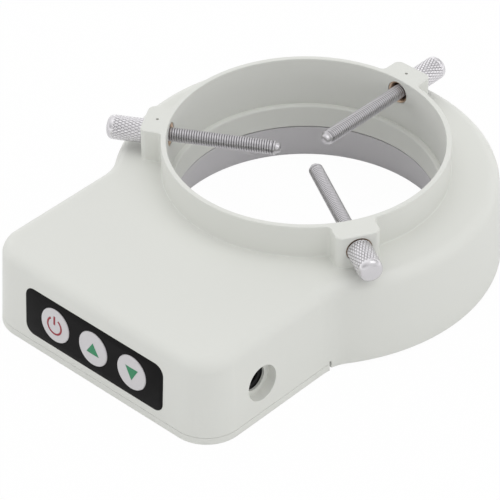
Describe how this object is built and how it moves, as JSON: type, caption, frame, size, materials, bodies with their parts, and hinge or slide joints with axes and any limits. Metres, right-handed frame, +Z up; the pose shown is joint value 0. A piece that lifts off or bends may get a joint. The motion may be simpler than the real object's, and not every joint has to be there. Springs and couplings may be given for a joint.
{
  "type": "microscope led ring lamp",
  "caption": "Ring light for a stereo microscope: round collar with radial thumbscrews over an LED ring, and a control arm with push buttons and a power inlet.",
  "frame": {"origin": "on the collar's bore axis, level with the arm cover's underside", "axes": "+Z up along the bore axis out of the collar; the control arm points along -Y; the power inlet is on the +X side"},
  "size_m": [0.1082, 0.1387, 0.0358],
  "materials": {
    "housing": "fine satin moulded surface",
    "overlay": "satin printed film",
    "button": "semi-gloss",
    "black_plastic": "satin",
    "switch_plastic": "satin",
    "board": "solder mask",
    "connector": "moulded nylon",
    "ribbon": "flat cable",
    "coil": "ferrite",
    "capacitor": "sleeved can",
    "nickel": "plated",
    "grey_plastic": "satin",
    "led": "phosphor resin",
    "diffuser": "frosted",
    "zinc_screw": "zinc plated",
    "red_insulation": "smooth",
    "black_insulation": "smooth",
    "brass": "dull",
    "steel": "nickel plated, knurled head"
  },
  "bodies": {
    "lamp": {"upper_housing": "housing", "arm_cover": "housing", "cover_screw_1": "zinc_screw", "cover_screw_2": "zinc_screw", "cover_screw_3": "zinc_screw", "cover_screw_4": "zinc_screw", "panel_overlay": "overlay", "power_switch": "switch_plastic", "brighter_switch": "switch_plastic", "dimmer_switch": "switch_plastic", "button_board": "board", "button_header": "connector", "panel_screw_1": "zinc_screw", "panel_screw_2": "zinc_screw", "button_ribbon": "ribbon", "ribbon_socket": "connector", "driver_board": "board", "driver_coil": "coil", "large_capacitor": "capacitor", "small_capacitor": "capacitor", "driver_chip": "black_plastic", "led_connector": "connector", "board_screw_1": "zinc_screw", "board_screw_2": "zinc_screw", "inlet_jack": "black_plastic", "inlet_pin": "nickel", "led_carrier": "grey_plastic", "led_board": "board", "led_row_inner": "led", "led_row_outer": "led", "diffuser": "diffuser", "carrier_screw_1": "zinc_screw", "carrier_screw_2": "zinc_screw", "carrier_screw_3": "zinc_screw", "led_lead_red": "red_insulation", "led_lead_black": "black_insulation", "insert_left": "brass", "insert_back": "brass", "insert_front": "brass"},
    "power_key": {"power_button": "button", "power_plunger": "black_plastic"},
    "brighter_key": {"brighter_button": "button", "brighter_plunger": "black_plastic"},
    "dimmer_key": {"dimmer_button": "button", "dimmer_plunger": "black_plastic"},
    "tip_left": {"screw_tip_left": "steel"},
    "tip_back": {"screw_tip_back": "steel"},
    "tip_front": {"screw_tip_front": "steel"},
    "screw_left": {"thumbscrew_left": "steel"},
    "screw_back": {"thumbscrew_back": "steel"},
    "screw_front": {"thumbscrew_front": "steel"}
  },
  "joints": [
    {"name": "power_press", "type": "slide", "parent": "lamp", "child": "power_key", "axis": [0, 0.9984, -0.0565], "range_m": [0, 0.00045], "stiffness_N_per_m": 3500},
    {"name": "brighter_press", "type": "slide", "parent": "lamp", "child": "brighter_key", "axis": [0, 0.9984, -0.0565], "range_m": [0, 0.00045], "stiffness_N_per_m": 3500},
    {"name": "dimmer_press", "type": "slide", "parent": "lamp", "child": "dimmer_key", "axis": [0, 0.9984, -0.0565], "range_m": [0, 0.00045], "stiffness_N_per_m": 3500},
    {"name": "left_screw_feed", "type": "slide", "parent": "lamp", "child": "tip_left", "axis": [-0.866, -0.5, 0], "range_m": [0, 0.03]},
    {"name": "left_screw_turn", "type": "hinge", "parent": "tip_left", "child": "screw_left", "pos_m": [-0.0433, -0.025, 0.0313], "axis": [-0.866, -0.5, 0], "range_deg": [0, 15430]},
    {"name": "back_screw_feed", "type": "slide", "parent": "lamp", "child": "tip_back", "axis": [0, 1, 0], "range_m": [0, 0.03]},
    {"name": "back_screw_turn", "type": "hinge", "parent": "tip_back", "child": "screw_back", "pos_m": [0, 0.05, 0.0313], "axis": [0, 1, 0], "range_deg": [0, 15430]},
    {"name": "front_screw_feed", "type": "slide", "parent": "lamp", "child": "tip_front", "axis": [0.866, -0.5, 0], "range_m": [0, 0.03]},
    {"name": "front_screw_turn", "type": "hinge", "parent": "tip_front", "child": "screw_front", "pos_m": [0.0433, -0.025, 0.0313], "axis": [0.866, -0.5, 0], "range_deg": [0, 15430]}
  ],
  "couplings": [
    {"joint": "left_screw_turn", "follows": "left_screw_feed", "rad_per_m": 8976},
    {"joint": "back_screw_turn", "follows": "back_screw_feed", "rad_per_m": 8976},
    {"joint": "front_screw_turn", "follows": "front_screw_feed", "rad_per_m": 8976}
  ]
}
